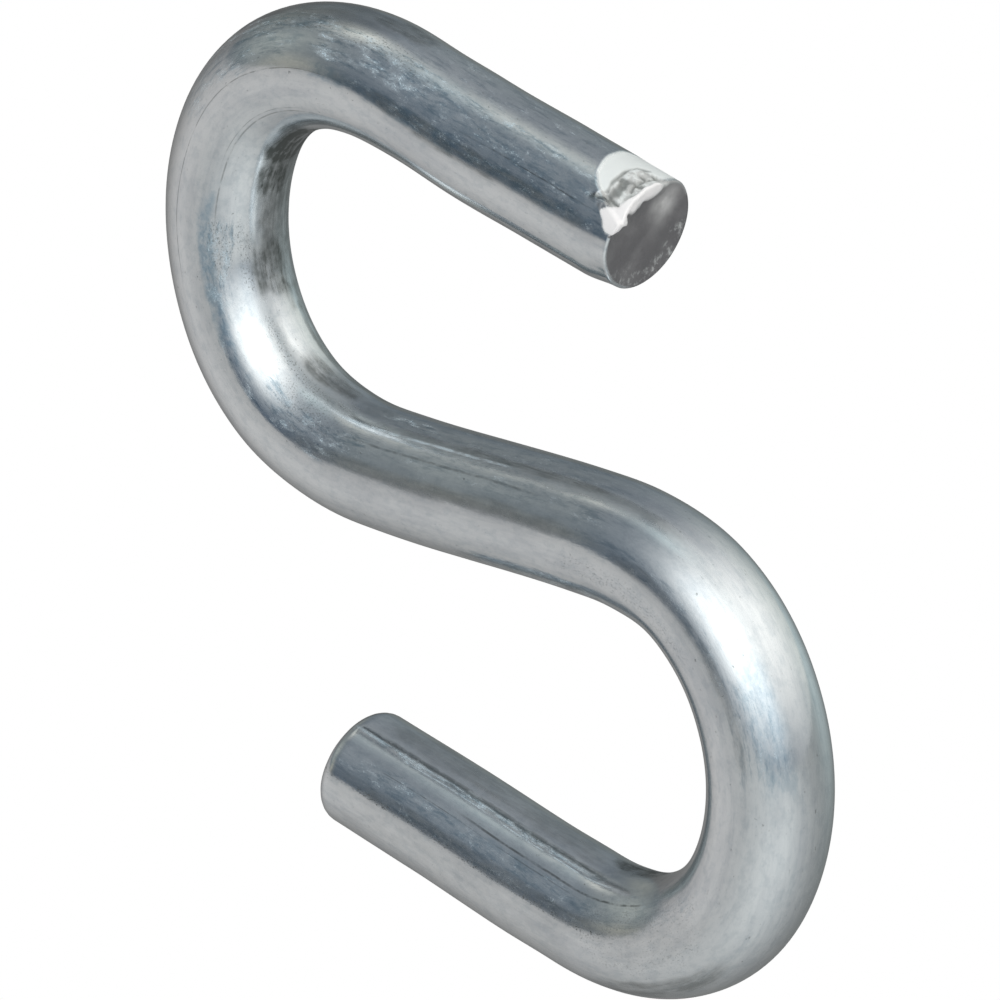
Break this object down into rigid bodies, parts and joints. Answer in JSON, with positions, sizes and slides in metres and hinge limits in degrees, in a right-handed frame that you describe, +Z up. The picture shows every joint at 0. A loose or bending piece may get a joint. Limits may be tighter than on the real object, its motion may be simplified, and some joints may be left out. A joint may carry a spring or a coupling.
{
  "type": "s hook",
  "caption": "S hook bent from one length of round steel bar: two open eyes, one above the other, for hanging a load from a rod, ring or chain.",
  "frame": {"origin": "the point under the crown of the upper eye where the hook hangs on what carries it", "axes": "+Z up along the line of load, which runs through both seats and the hook's centre; +X towards the open end of the upper eye; +Y across the bar, away from the side in the picture; the bar's centreline lies in the plane Y = 0"},
  "size_m": [0.0599, 0.0094, 0.0813],
  "materials": {
    "zinc_plated_steel": "bright zinc plating over drawn steel bar, cool grey, semi-gloss, with fine draw lines, pits and scuffs"
  },
  "bodies": {
    "root": {"s_hook": "zinc_plated_steel"}
  },
  "joints": []
}
